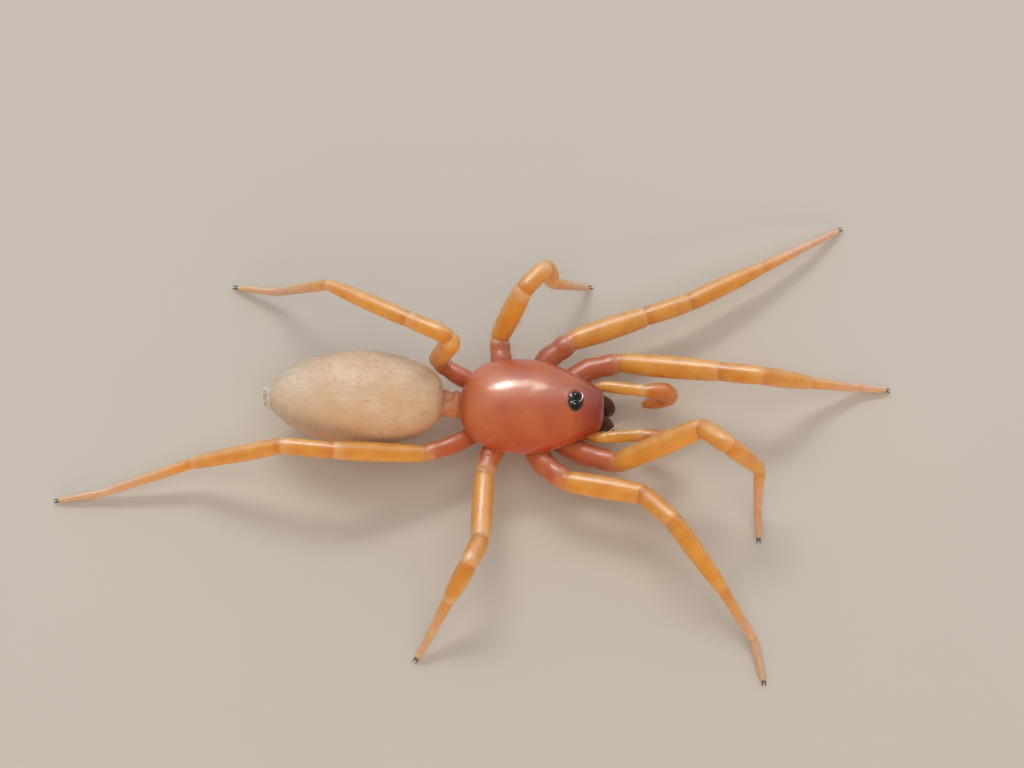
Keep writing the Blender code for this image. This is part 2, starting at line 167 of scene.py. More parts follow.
def paint(tree, ground, *layers):
    """Lays colours over a ground, none where a value is low and a share where it is high."""
    mixed = None
    for over, value, low, high, share in layers:
        amount = add_node(tree, "MapRange", "Result",
                          {"From Min": low, "From Max": high, "To Max": share},
                          {"Value": value}, interpolation_type="SMOOTHSTEP")
        values, links = {FIRST: colour(ground), SECOND: colour(over)}, {FACTOR: amount}
        if mixed:
            links[FIRST] = mixed
        mixed = add_node(tree, "Mix", MIXED, values, links, data_type="RGBA")
    return mixed


def new_finish(name, glow=None, **values):
    """Starts a finish; the values and the glow, light from inside, go to the shader."""
    finish = bpy.data.materials.new(name)
    finish.use_nodes = True
    tree = finish.node_tree
    shader = tree.nodes["Principled BSDF"]
    if glow:
        share, reach, depth = glow
        values |= {"Subsurface_Weight": share, "Subsurface_Radius": reach,
                   "Subsurface_Scale": depth * MM}
    for socket, value in values.items():
        shader.inputs[socket.replace("_", " ")].default_value = value
    spot = add_node(tree, "TexCoord", "Object")
    place = add_node(tree, "Mapping", "Vector", {"Scale": [1 / MM] * 3, "Location": -ZERO},
                     {"Vector": spot})
    return finish, tree, shader, place


def finish_surface(tree, shader, base, height, depth, strength=0.25):
    """Gives the shader its colour and a fine relief that is depth millimetres high."""
    tree.links.new(base, shader.inputs["Base Color"])
    relief = add_node(tree, "Bump", "Normal", {"Strength": strength, "Distance": depth * MM},
                      {"Height": height})
    tree.links.new(relief, shader.inputs["Normal"])


print("white is", colour("FFFFFF"))

# %% [markdown]
# ### Cuticle of the shield
# A spider's shell is cuticle: a few hundredths of a millimetre of hard, slightly
# see-through material over soft tissue. Here it is salmon to orange-red and glossy.
# Light goes in, scatters and comes out warmer, so the finish has subsurface scattering
# over a tenth of a millimetre, under a clear coat. Cuticle bends light more than glass
# does, by 1.56. The shield is darker and redder towards the jaws, has a black patch
# under the eyes, and has a paler thin rim: a painted glow of the light passing through it.

# %% Finish of the shield
shield_finish, tree, shader, place = new_finish(
    "glossy_salmon_cuticle", (0.30, (1.0, 0.30, 0.12), 0.10), Roughness=0.40, IOR=1.56,
    Coat_Weight=0.85, Coat_Roughness=0.17, Coat_IOR=1.56)
spot_x, spot_z = (add_node(tree, "SeparateXYZ", axis, links={0: place}) for axis in "XZ")
clouds, speckles, pores = (
    add_node(tree, "TexNoise", "Fac", {"Scale": 1 / grain, "Detail": detail}, {0: place})
    for grain, detail in ((0.55, 3), (0.05, 2), (0.03, 3)))
beside = add_node(tree, "VectorMath", "Vector", {1: (EYE_CENTRE.x, 0, 0)}, {0: place},
                  operation="SUBTRACT")
oval = add_node(tree, "VectorMath", "Vector", {1: (1 / 0.135, 1 / 0.185, 0)}, {0: beside},
                operation="MULTIPLY")
away = add_node(tree, "VectorMath", "Value", links={0: oval}, operation="LENGTH")

base = paint(tree, "CE6A30",
             ("C05826", clouds, 0.35, 0.65, 1.0),
             ("E48C50", spot_x, -0.35, -1.10, 0.60),        # rear
             ("BC3E10", spot_z, 1.38, 1.02, 0.75),          # sides
             # the rim's paler colour is a painted glow of light shining through the thin edge
             ("E3936A", spot_z, 1.025, 0.985, 0.60),        # rim
             ("8A1C12", spot_x, 0.60, 1.26, 0.90),          # front
             ("DD8458", speckles, 0.56, 0.74, 0.14),
             ("12080A", away, 1.22, 0.88, 1.0))             # patch of the eyes
finish_surface(tree, shader, base, pores, 0.004)
print(shield_finish.name)

# %% [markdown]
# ### Cuticle of the legs
# The legs are the same material, but amber and much clearer, so they glow where light
# passes through. The hips are redder, like the body. Each part is reddest where it
# starts and palest where it ends, and a pale soft membrane joins it to the next one.
# These changes follow the leg, so the skin carries them as an attribute named marks:
# red for the hip, green for pale, blue for the feet and alpha for the reddish starts.

# %% Finish of the legs and palps
leg_finish, tree, shader, place = new_finish(
    "glossy_amber_cuticle", (0.90, (1.0, 0.60, 0.14), 0.36), Roughness=0.38, IOR=1.56,
    Coat_Weight=0.50, Coat_Roughness=0.42, Coat_IOR=1.56)
marks = add_node(tree, "Attribute", "Color", attribute_name="marks")
starts = add_node(tree, "Attribute", "Alpha", attribute_name="marks")
hip, membrane, foot = (add_node(tree, "SeparateColor", channel, links={0: marks})
                       for channel in ("Red", "Green", "Blue"))
clouds, pores = (
    add_node(tree, "TexNoise", "Fac", {"Scale": 1 / grain, "Detail": 3}, {0: place})
    for grain in (0.30, 0.025))

base = paint(tree, "EAB04E",
             ("E0A03C", clouds, 0.35, 0.65, 1.0), ("DDB298", foot, 0.0, 1.0, 1.0),
             ("C66C40", hip, 0.0, 1.0, 1.0), ("C0602A", starts, 0.0, 1.0, 1.0),
             ("E6C096", membrane, 0.0, 1.0, 1.0))
finish_surface(tree, shader, base, pores, 0.004)
print(leg_finish.name)

# %% [markdown]
# ### Soft skin of the abdomen
# The abdomen has no hard shell. Its skin is thin, cream-coloured and silky, because
# very fine hairs lie flat on it and the tissue under it is pale and cloudy. Broad
# clouds of pinkish grey and warm beige give the colour, and fine lengthwise folds,
# stretched noise three hundredths of a millimetre wide, give the silk. The sides and
# belly turn darker orange: painted shade, tinted by warm light thrown up from below.

# %% Finish of the abdomen
abdomen_finish, tree, shader, place = new_finish(
    "silky_cream_skin", (0.45, (1.0, 0.6, 0.35), 0.20), Roughness=0.50, IOR=1.45,
    Sheen_Weight=0.12, Sheen_Roughness=0.40)
spot_x, spot_z = (add_node(tree, "SeparateXYZ", axis, links={0: place}) for axis in "XZ")
clouds = add_node(tree, "TexNoise", "Fac", {"Scale": 1 / 0.7, "Detail": 2, "Distortion": 0.6},
                  {0: place})
stretched = add_node(tree, "Mapping", "Vector", {"Scale": (0.16, 1.0, 1.0)}, {0: place})
folds = add_node(tree, "TexNoise", "Fac", {"Scale": 1 / 0.03, "Detail": 4, "Distortion": 0.4},
                 {0: stretched})

base = paint(tree, "ECD6BA",
             ("E6C8A6", clouds, 0.32, 0.68, 1.0),
             # sides and belly: darker orange as painted shade with warm light from below
             ("B86C24", spot_z, 1.70, 0.65, 0.85),          # sides and belly
             ("F2E4D0", spot_x, -3.60, -4.50, 0.75),        # rear
             ("F4E8D8", folds, 0.50, 0.75, 0.14))
finish_surface(tree, shader, base, folds, 0.003, 0.22)
print(abdomen_finish.name)

# %% [markdown]
# ### The small finishes
# Jaws are thick red cuticle, darkened as painted shade for the shadow they hang in
# under the shield; fangs and claws are tanned nearly black and polished by use. The
# membrane of the waist and of the flanks is pale and soft.
# A spider's eye is a clear lens of cuticle over black pigment, so it is black with a
# wet shine. The silk tubes have the palest, most see-through skin of all. Hairs are
# hollow cuticle, four to nine thousandths of a millimetre thick: straw-coloured on the
# legs and nearly white on the abdomen.

# %% Finishes of jaws, fangs, flanks, eyes and hairs
def plain_finish(name, first, second, size, depth, glow=None, **values):
    """Makes a finish of two clouded colours with fine grains of a sixth of their size."""
    finish, tree, shader, place = new_finish(name, glow, **values)
    clouds, fine = (add_node(tree, "TexNoise", "Fac", {"Scale": scale, "Detail": 3},
                             {0: place}) for scale in (1 / size, 6 / size))
    base = paint(tree, first, (second, clouds, 0.35, 0.65, 1.0))
    finish_surface(tree, shader, base, fine, depth, 0.3)
    return finish


HAIR_GLOW = (0.3, (1, 0.8, 0.6), 0.02)

# the jaws' dark colour is painted shade, for the shadow under the shield's front
jaw_shade_finish = plain_finish("jaw_cuticle_painted_shade", "5A1812", "40100C", 0.15, 0.004,
                          (0.25, (1, 0.3, 0.15), 0.08), Roughness=0.42, IOR=1.5)
fang_finish = plain_finish("tanned_black_claw_cuticle", "3A130C", "1E0B08", 0.04, 0.001,
                           Roughness=0.18, IOR=1.55)
flank_finish = plain_finish("soft_pale_flank_membrane", "DFA47A", "D08B60", 0.12, 0.010,
                            (0.5, (1, 0.5, 0.3), 0.15), Roughness=0.42, IOR=1.45)
plate_finish = plain_finish("satin_orange_plate_cuticle", "BE6C42", "A9552F", 0.20, 0.004,
                            (0.4, (1, 0.4, 0.2), 0.12), Roughness=0.34, IOR=1.5)
eye_finish = plain_finish("wet_black_eye_lens", "0C0B10", "17141C", 0.10, 0.0002,
                          Roughness=0.10, IOR=1.56, Coat_Weight=0.6, Coat_Roughness=0.05)
tube_finish = plain_finish("milky_silk_tube_skin", "F0E2CE", "E6D4BC", 0.10, 0.002,
                           (0.7, (1, 0.8, 0.6), 0.12), Roughness=0.4, IOR=1.45)
silk_finish = plain_finish("white_silky_hair_cuticle", "ECDCC6", "E0CCB0", 0.20, 0.0002,
                           HAIR_GLOW, Roughness=0.4, IOR=1.5)
hair_finish = plain_finish("straw_hollow_hair_cuticle", "E6C89C", "D6AE78", 0.20, 0.0005,
                           HAIR_GLOW, Roughness=0.38, IOR=1.5)
print("finishes:", len([finish for finish in bpy.data.materials if finish.users == 0]))

# %% [markdown]
# ## Shapes from operators
# Two kinds of shape make the whole animal. The shield and the abdomen are balls: a
# ball of even triangles has no poles that would pinch the highlight, and each of its
# points is moved to where the named sizes put it. Everything long is a sweep: circles
# set along a path with rounded corners and bridged to one closed skin.

# %% Circles along a path
def heading(azimuth, pitch=0):
    """Gives the unit direction of an azimuth and a pitch in degrees."""
    turn, rise = math.radians(azimuth), math.radians(pitch)
    return Vector((math.cos(turn) * math.cos(rise), math.sin(turn) * math.cos(rise),
                   math.sin(rise)))


def ring(centre, forward, half_width, half_height, side):
    """Gives the matrix that lays a unit circle at the centre, facing forward."""
    normal = forward.normalized()
    across = (side - normal * side.dot(normal)).normalized()
    upright = normal.cross(across)
    turn = Matrix((across * half_width, upright * half_height, normal)).transposed()
    return Matrix.Translation(centre) @ turn.to_4x4()


def loft(rings, sides, marks):
    """Joins one circle per ring into a closed body that carries the rings' marks."""
    shape = bmesh.new()
    layer = shape.verts.layers.float_color.new("marks")
    loops = []
    for number, (station, mark) in enumerate(zip(rings, marks)):
        is_end = number in (0, len(rings) - 1)
        made = bmesh.ops.create_circle(shape, segments=sides, radius=1,
                                       cap_ends=is_end, matrix=station)
        corners = set(made["verts"])
        for corner in corners:
            corner[layer] = mark
        edges = {edge for corner in corners for edge in corner.link_edges}
        loops.append([edge for edge in edges if set(edge.verts) <= corners])
    for near, far in zip(loops, loops[1:]):
        bmesh.ops.bridge_loops(shape, edges=near + far)
    bmesh.ops.recalc_face_normals(shape, faces=shape.faces)
    return shape


print("circles ready")

# %% [markdown]
# A real joint bends over a short arc, not at a point. The next function takes the
# corner points of a limb and gives the place and the heading at any distance along
# it, with each corner rounded by an arc as wide as its two neighbours allow.

# %% A path with rounded corners
def on_arc(corner, before, after, angle, radius, turned):
    """Gives place and heading on the arc that rounds a corner."""
    inward = (after - before * math.cos(angle)).normalized()
    centre = corner - before * radius * math.tan(angle / 2) + inward * radius
    place = centre + (before * math.sin(turned) - inward * math.cos(turned)) * radius
    return place, before * math.cos(turned) + inward * math.sin(turned)


def path_lengths(points):
    """Gives the length of each step along a path."""
    return [(end - start).length for start, end in zip(points, points[1:])]


def rounded_path(points, softness):
    """Gives a function of the distance along the path, and the corners' distances."""
    lengths = path_lengths(points)
    ways = [(end - start).normalized() for start, end in zip(points, points[1:])]
    starts = [0.0]
    for length in lengths:
        starts.append(starts[-1] + length)
    arcs = []
    for before, after, near, far in zip(ways, ways[1:], lengths, lengths[1:]):
        angle = before.angle(after)
        reach = 0.0
        if angle > 0.01:
            reach = min(softness * math.tan(angle / 2), 0.45 * min(near, far))
        arcs.append((angle, reach))

    def walk(distance):
        index = min(max(bisect_right(starts, distance) - 1, 0), len(ways) - 1)
        gone = distance - starts[index]
        rest = lengths[index] - gone
        if index > 0 and gone < arcs[index - 1][1]:
            angle, reach = arcs[index - 1]
            return on_arc(points[index], ways[index - 1], ways[index], angle,
                          reach / math.tan(angle / 2), angle / 2 * (1 + gone / reach))
        if index < len(ways) - 1 and rest < arcs[index][1]:
            angle, reach = arcs[index]
            return on_arc(points[index + 1], ways[index], ways[index + 1], angle,
                          reach / math.tan(angle / 2), angle / 2 * (1 - rest / reach))
        return points[index] + ways[index] * gone, ways[index]

    return walk, starts


def smooth_value(places, values, at):
    """Runs one smooth curve through values that are known at some places."""
    slopes = np.gradient(values, places)
    index = min(max(bisect_right(places, at) - 1, 0), len(places) - 2)
    width = places[index + 1] - places[index]
    share = min(max((at - places[index]) / width, 0), 1)
    rest = 1 - share
    return (values[index] * rest * rest * (1 + 2 * share)
            + values[index + 1] * share * share * (1 + 2 * rest)
            + slopes[index] * width * share * rest * rest
            - slopes[index + 1] * width * share * share * rest)


print("path ready")

# %% [markdown]
# The sweep puts its circles a twentieth of a millimetre apart, and four times closer
# at the joints, where the shell's rim and the membrane need them. It hands back the
# circles too, because the hairs are later set on the same circles.

# %% The sweep and the ball
WIDE_STEP = 0.05
FINE_STEP = 0.0125
FINE_REACH = 0.11
SWEEP_SIDES = 28


def stations(total, joints):
    """Spreads distances along a path, closer together near its joints."""
    places = {round(total * step / round(total / WIDE_STEP), 4)
              for step in range(round(total / WIDE_STEP) + 1)}
    count = round(FINE_REACH / FINE_STEP)
    near = {round(joint + FINE_STEP * step, 4) for joint in (*joints, total)
            for step in range(-count, count + 1)}
    kept = []
    for distance in sorted(places | near):
        if 0 <= distance <= total and (not kept or distance - kept[-1] > FINE_STEP * 0.7):
            kept.append(distance)
    return kept


def sweep(points, keys, softness, mark=None, sides=SWEEP_SIDES, flatness=0.96):
    """Makes a round skin along points; keys are distances with half thicknesses."""
    walk, starts = rounded_path(points, softness)
    places = stations(starts[-1], starts[1:-1])
    distances = [key[0] for key in keys]
    sizes = [key[1] for key in keys]
    forward = walk(0)[1]
    side = UP.cross(forward) if abs(forward.z) < 0.95 else Vector((0, 1, 0))
    rings, marks = [], []
    for distance in places:
        centre, forward = walk(distance)
        side = (side - forward * side.dot(forward)).normalized()
        size = smooth_value(distances, sizes, distance)
        rings.append(ring(centre, forward, size * flatness, size, side))
        marks.append(mark(distance) if mark else (0, 0, 0, 0))
    return loft(rings, sides, marks), rings, places


def ball(detail, move):
    """Makes a ball of even triangles and moves each of its points."""
    shape = bmesh.new()
    bmesh.ops.create_icosphere(shape, subdivisions=detail, radius=1)
    for corner in shape.verts:
        corner.co = move(corner.co.normalized())
    bmesh.ops.recalc_face_normals(shape, faces=shape.faces)
    return shape


def mesh_of(name, shape):
    """Turns a shape into a mesh and lets go of it."""
    mesh = bpy.data.meshes.new(name)
    shape.to_mesh(mesh)
    shape.free()
    return mesh


def add_shape(whole, part):
    """Adds one shape to another."""
    carrier = mesh_of("carrier", part)
    whole.from_mesh(carrier)
    bpy.data.meshes.remove(carrier)


def place_mesh(name, mesh, finish):
    """Puts a mesh into the scene, with its finish."""
    mesh.materials.append(finish)
    mesh.shade_smooth()
    thing = bpy.data.objects.new(name, mesh)
    collection.objects.link(thing)
    print(name, len(mesh.polygons), "faces")
    return thing


def add_piece(name, mesh, finish, slot, replaced=()):
    """Makes a mesh a piece of the model."""
    piece = place_mesh(name, mesh, finish)
    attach(piece, "root")
    if replaced:
        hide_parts(*replaced)
    return piece


def finish_piece(name, shape, *looks):
    """Turns a shape in millimetres into a piece of the model."""
    bmesh.ops.transform(shape, matrix=TO_FRAME, verts=shape.verts)
    return add_piece(name, mesh_of(name, shape), *looks)


print("sweep and ball ready")

# %% [markdown]
# ## The shield
# The front half of a spider is covered by one domed shield, the carapace. This one is
# an oval seen from above, blunt in front, and nearly smooth. Two faint furrows set the
# head off from the rest, and shallow dents run to each leg, where muscles hold on
# inside. It could be sculpted, but a ball whose points follow the solid's own curves
# keeps the outline exact and leaves the small forms to short formulas.

# %% Sizes and outline of the shield
CARAPACE_REAR, CARAPACE_WIDEST, CARAPACE_FRONT = -1.28, -0.15, 1.30
CARAPACE_HALF_WIDTH, CARAPACE_RIM, CARAPACE_DOME = 0.885, 0.97, 0.53
CARAPACE_NARROWING, CARAPACE_FALL = 0.62, 0.30
FRONT_ROUNDING = 0.11           # length over which the blunt front closes
RIM_DEPTH = 0.07                # how far the rim curls in under the shield


def rounded(share, power):
    """Gives the height of a rounded end at a share of the way to its tip."""
    return max(1 - min(max(share, 0), 1) ** power, 0) ** (1 / power)


def hill(off, width):
    """Gives the height of a smooth hill of height one at a distance from its top."""
    return math.exp(-(off / width) ** 2)


def fall(off, width):
    """Gives a smooth step that falls from one to nothing where the distance is nothing."""
    return 1 / (1 + math.exp(off / width))


def around(unit):
    """Gives how far a point of a unit ball lies sideways and up on its own circle."""
    round_about = max(math.hypot(unit.y, unit.z), 1e-6)
    return unit.y / round_about, unit.z / round_about


def spread(unit, rear, widest, front):
    """Gives where a point of a unit ball lies along a form that is widest at one place."""
    return widest + unit.x * (front - widest if unit.x > 0 else widest - rear)


def carapace_size(x):
    """Gives the shield's half width and the height of its dome at x."""
    if x < CARAPACE_WIDEST:
        share = (CARAPACE_WIDEST - x) / (CARAPACE_WIDEST - CARAPACE_REAR)
        return (CARAPACE_HALF_WIDTH * rounded(share, 2.5),
                CARAPACE_DOME * rounded(share, 2.3))
    share = (x - CARAPACE_WIDEST) / (CARAPACE_FRONT - CARAPACE_WIDEST)
    closing = (x - CARAPACE_FRONT + FRONT_ROUNDING) / FRONT_ROUNDING
    width = 1 - CARAPACE_NARROWING * (1 - math.cos(share * math.pi / 2))
    height = 1 - CARAPACE_FALL * share ** 3
    return (CARAPACE_HALF_WIDTH * width * rounded(closing, 2.6),
            CARAPACE_DOME * height * rounded(closing, 2.2))


print("half width of the head at the eyes:", round(carapace_size(0.78)[0], 3), "mm")

# %% Furrows, dents and the seats of the eyes
EYE_SEATS = [Vector((0.78, 0.092 * sign, 1.405)) for sign in SIDES.values()]
EYE_HALF = 0.098 * Vector((1, 0.95, 0.98))
LEG_ROOTS = ((0.38, 0.80), (-0.06, 0.90), (-0.50, 0.84), (-0.90, 0.62))
FURROW_START, FURROW_END = (-0.20, 0.0), (0.52, 0.62)
FURROW_DEPTH, FURROW_WIDTH = 0.004, 0.09
DENT_START, DENT_DEPTH, DENT_WIDTH = (-0.30, 0.05), 0.0022, 0.08
SEAT_RISE, SEAT_WIDTH = 0.016, 0.15
MOAT_DEPTH, MOAT_RADIUS, MOAT_WIDTH = 0.014, 0.105, 0.018      # the groove round an eye
WAVE_HEIGHT, WAVES = 0.003, 2.2         # the shield's faint waves, and waves in each mm


def off_line(x, y, start, end):
    """Gives how far a point lies from a line between two points, seen from above."""
    line, step = Vector(end) - Vector(start), Vector((x, y)) - Vector(start)
    share = min(max(step.dot(line) / line.length_squared, 0), 1)
    return (step - line * share).length, share


def shield_relief(x, y):
    """Gives how far the shield's surface stands off its smooth dome."""
    side = abs(y)
    off, share = off_line(x, side, FURROW_START, FURROW_END)
    relief = -FURROW_DEPTH * hill(off, FURROW_WIDTH) * math.sin(math.pi * share)
    for root in LEG_ROOTS:
        off, share = off_line(x, side, DENT_START, root)
        relief -= DENT_DEPTH * hill(off, DENT_WIDTH) * math.sin(math.pi * share ** 1.5)
    for seat in EYE_SEATS:
        off = math.hypot(x - seat.x, y - seat.y)
        relief += SEAT_RISE * hill(off, SEAT_WIDTH)
        relief -= MOAT_DEPTH * hill(off - MOAT_RADIUS, MOAT_WIDTH)
    return relief


def carapace_point(unit):
    """Moves a point of a unit ball onto the shield."""
    x = spread(unit, CARAPACE_REAR, CARAPACE_WIDEST, CARAPACE_FRONT)
    side, rise = around(unit)
    width, height = carapace_size(x)
    y = width * side
    if rise < 0:
        height = RIM_DEPTH * width / CARAPACE_HALF_WIDTH
    z = CARAPACE_RIM + height * rise
    if rise > 0:
        fade = min(rise * 2.5, 1)
        z += fade * shield_relief(x, y)
        z += WAVE_HEIGHT * fade * noise.noise(Vector((x, y, 0)) * WAVES)
    return Vector((x, y, z))


shield = finish_piece("carapace_shell", ball(7, carapace_point), shield_finish, "carapace",
                      ["carapace"])

# %% [markdown]
# ## The eyes
# Most spiders have eight eyes; this one has only two, side by side on the front of
# the shield, on a shared black patch. Each is a clear dome sunk a little more than
# half into its seat. A ball slightly flattened from the front gives the same
# highlight as the real lens.

# %% Two lenses
for side, seat in zip(SIDES, EYE_SEATS):
    lens_shape = ball(5, lambda unit, seat=seat: seat + unit * EYE_HALF)
    finish_piece(f"lens_{side}", lens_shape, eye_finish, "eye", [f"eye_{side}"])

# %% [markdown]
# ## Flanks, breast plate and mouth plates
# Under the shield a soft wall, paler than the shell, goes down to a hard plate, the
# sternum, and the legs come out of the wall round it. In front of the plate lie the
# small lower lip and, beside it, two plates that grew from the feelers' hips. The wall
# is a flattened ball, wide under the rim and narrow at the plate.

# %% The soft wall and the plate
WALL_MIDDLE, WALL_HALF = Vector((-0.10, 0, 0.90)), Vector((1.14, 0.66, 0.36))
WALL_TOP = 0.10                 # how far the wall goes up under the shield
PLATE_REAR, PLATE_WIDEST, PLATE_FRONT = -1.05, -0.10, 0.62
PLATE_HALF_WIDTH, PLATE_LEVEL, PLATE_HALF_THICKNESS = 0.37, 0.555, 0.035
LIP_MIDDLE, LIP_HALF = Vector((0.74, 0, 0.565)), Vector((0.15, 0.115, 0.045))


def wall_point(unit):
    """Moves a point of a unit ball onto the soft wall below the shield."""
    x = unit.x * WALL_HALF.x
    side, rise = around(unit)
    size = rounded(abs(unit.x), 2.6)
    height = WALL_TOP if rise > 0 else WALL_HALF.z
    folds = 1 + 0.02 * noise.noise(Vector((x * 6, unit.y * 3, unit.z * 9)))
    return WALL_MIDDLE + Vector((x, WALL_HALF.y * size * folds * side, height * size * rise))


def plate_point(unit):
    """Moves a point of a unit ball onto the heart-shaped breast plate."""
    x = spread(unit, PLATE_REAR, PLATE_WIDEST, PLATE_FRONT)
    power = 3.2 if unit.x > 0 else 1.9
    side, rise = around(unit)
    width = PLATE_HALF_WIDTH * rounded(abs(unit.x), power)
    thick = PLATE_HALF_THICKNESS * rounded(abs(unit.x), 6)
    return Vector((x, width * side, PLATE_LEVEL + thick * rise))


finish_piece("flank_wall", ball(6, wall_point), flank_finish, "underside", ["sternum"])
finish_piece("breast_plate", ball(6, plate_point), plate_finish, "underside")
lip = ball(5, lambda unit: LIP_MIDDLE + unit * LIP_HALF)
finish_piece("lower_lip", lip, plate_finish, "underside")

# %% [markdown]
# ## Jaws and fangs
# Each jaw is a stout red tube, darkened as painted shade, that hangs under the front of
# the shield, and its fang folds inwards at the bottom. The mouth plates beside the lip
# lean together in
# front. All are sweeps with few corner points; only the left one has named points, and
# the right one takes them with the other sign.

# %% Jaws, fangs and mouth plates
JAW_POINTS = ((1.06, 0.165, 1.00), (1.20, 0.185, 0.87), (1.30, 0.185, 0.73),
              (1.35, 0.18, 0.57), (1.34, 0.165, 0.43))
JAW_SIZES = ((0.0, 0.12), (0.12, 0.155), (0.28, 0.172), (0.42, 0.165), (0.52, 0.135),
             (0.575, 0.085), (0.60, 0.02))
ENDITE_POINTS = ((0.56, 0.30, 0.64), (0.70, 0.275, 0.61), (0.84, 0.24, 0.575),
                 (0.96, 0.185, 0.545))
ENDITE_SIZES = ((0.0, 0.07), (0.12, 0.10), (0.26, 0.125), (0.36, 0.11), (0.42, 0.075),
                (0.452, 0.02))
FANG_LENGTH, FANG_HALF, FANG_TAPER = 0.22, 0.046, 0.88
FANG_ROOT, FANG_CURL = (1.34, 0.17, 0.45), (-0.50, -0.60, 0)


def mirrored(point, sign):
    """Gives a left-hand point to the side that the sign stands for."""
    return Vector((point[0], point[1] * sign, point[2]))


def stretched_keys(keys, points):
    """Stretches distances so that the last one is the path's own length."""
    total = sum(path_lengths(points))
    return [(place * total / keys[-1][0], size) for place, size in keys]


for side, sign in SIDES.items():
    points = [mirrored(point, sign) for point in JAW_POINTS]
    jaw, *_ = sweep(points, stretched_keys(JAW_SIZES, points), 0.3)
    finish_piece(f"jaw_{side}", jaw, jaw_shade_finish, "jaw", [f"chelicera_{side}"])

    down = (points[-1] - points[-2]).normalized()
    root = mirrored(FANG_ROOT, sign)
    curl = mirrored(FANG_CURL, sign)
    shares = [step / 8 for step in range(9)]
    fang_points = [root + (down + curl * share) * FANG_LENGTH * share for share in shares]
    sizes = [(share, FANG_HALF * (1 - FANG_TAPER * share)) for share in shares]
    fang, *_ = sweep(fang_points, stretched_keys(sizes, fang_points), 0.1, sides=18)
    finish_piece(f"curved_fang_{side}", fang, fang_finish, "fang", [f"fang_{side}"])

    points = [mirrored(point, sign) for point in ENDITE_POINTS]
    plate, *_ = sweep(points, stretched_keys(ENDITE_SIZES, points), 0.3)
    finish_piece(f"mouth_plate_{side}", plate, plate_finish, "underside",
                 [f"endite_{side}"])

# %% [markdown]
# ## Waist, abdomen and silk tubes
# A short soft waist, flat and in two lobes, joins the front half to the abdomen, which
# is egg-shaped, blunt in front and silky. It is full but soft, so it bulges slightly
# between small dimples where muscles hold the skin from inside. At the rear end a small
# pale lobe carries six short tubes that give out silk, four of them in a row across,
# which is a mark of this family. Above them a blunt knob is the end of the gut.

# %% Sizes and surface of the abdomen
ABDOMEN_FRONT, ABDOMEN_WIDEST, ABDOMEN_REAR = -1.58, -3.00, -4.70
ABDOMEN_HALF_WIDTH, ABDOMEN_HALF_HEIGHT = 0.85, 0.75
ABDOMEN_NARROWING, ABDOMEN_ROUNDING = 0.11, 0.12        # how blunt the front is
ABDOMEN_SHIFT, ABDOMEN_LEVEL, ABDOMEN_TURN = 0.03, 1.0, math.radians(2)
ABDOMEN_PLACE = (Matrix.Translation((ABDOMEN_FRONT, ABDOMEN_SHIFT, ABDOMEN_LEVEL))
                 @ Matrix.Rotation(ABDOMEN_TURN, 4, "Z")
                 @ Matrix.Translation((-ABDOMEN_FRONT, 0, 0)))
DIMPLES = ((-2.35, 0.22), (-2.85, 0.30), (-3.40, 0.27))
DIMPLE_DEPTH, DIMPLE_WIDTH = 0.006, 0.07


def abdomen_size(x):
    """Gives the share of its full width that the abdomen has at x."""
    if x < ABDOMEN_WIDEST:
        return rounded((ABDOMEN_WIDEST - x) / (ABDOMEN_WIDEST - ABDOMEN_REAR), 1.9)
    share = (x - ABDOMEN_WIDEST) / (ABDOMEN_FRONT + ABDOMEN_NARROWING - ABDOMEN_WIDEST)
    closing = (x - ABDOMEN_FRONT + ABDOMEN_ROUNDING) / ABDOMEN_ROUNDING
    return rounded(share, 2.0) * rounded(closing, 2.4)


def abdomen_point(unit):
    """Moves a point of a unit ball onto the abdomen."""
    x = spread(unit, ABDOMEN_REAR, ABDOMEN_WIDEST, ABDOMEN_FRONT)
    side, rise = around(unit)
    size = abdomen_size(x)
    size *= 1 + 0.016 * noise.noise(Vector((x, unit.y, unit.z)) * 1.7)
    size *= 1 + 0.003 * noise.noise(Vector((x * 3, unit.y * 9, unit.z * 9)))
    y = ABDOMEN_HALF_WIDTH * size * side
    z = ABDOMEN_HALF_HEIGHT * size * rise
    if rise > 0:
        for dimple_x, dimple_y in DIMPLES:
            off = math.hypot(x - dimple_x, abs(y) - dimple_y)
            z -= DIMPLE_DEPTH * hill(off, DIMPLE_WIDTH)
    return ABDOMEN_PLACE @ Vector((x, y, z))


abdomen = finish_piece("abdomen_skin", ball(7, abdomen_point), abdomen_finish, "abdomen",
                       ["abdomen"])

# %% The waist and the silk tubes
WAIST_POINTS = ((-1.05, 0, 0.84), (-1.30, 0, 0.84), (-1.50, 0.01, 0.85), (-1.85, 0.03, 0.88))
WAIST_SIZES = ((0.0, 0.15), (0.15, 0.175), (0.24, 0.160), (0.31, 0.185), (0.39, 0.155),
               (0.46, 0.17), (0.60, 0.17), (0.80, 0.13))
WAIST_FURROW, FURROW_HALF = 0.030, 0.06
TUBE_SPACING, TUBE_HALF, TUBE_ROOT = 0.080, 0.056, 0.12      # the root is sunk in
TUBE_ROWS = (           # places across, height, length and share of the full thickness
    ((-1.5, -0.5, 0.5, 1.5), -0.04, 0.095, 1.0),
    ((-0.5, 0.5), -0.135, 0.095, 0.8),
    ((0,), 0.045, 0.06, 0.9),           # the knob
)
TUBE_PROFILE = ((0, 1), (0.4, 1.04), (0.72, 1), (0.86, 0.88), (0.95, 0.60), (1.0, 0.1))
LOBE_MIDDLE = Vector((ABDOMEN_REAR + 0.05, -0.015, -0.05))
LOBE_HALF = Vector((0.135, 0.225, 0.17))

points = [Vector(point) for point in WAIST_POINTS]
waist, *_ = sweep(points, stretched_keys(WAIST_SIZES, points), 0.5, flatness=1.45)
for corner in waist.verts:
    corner.co.z -= WAIST_FURROW * hill(corner.co.y, FURROW_HALF)
finish_piece("soft_waist", waist, flank_finish, "pedicel", ["pedicel"])

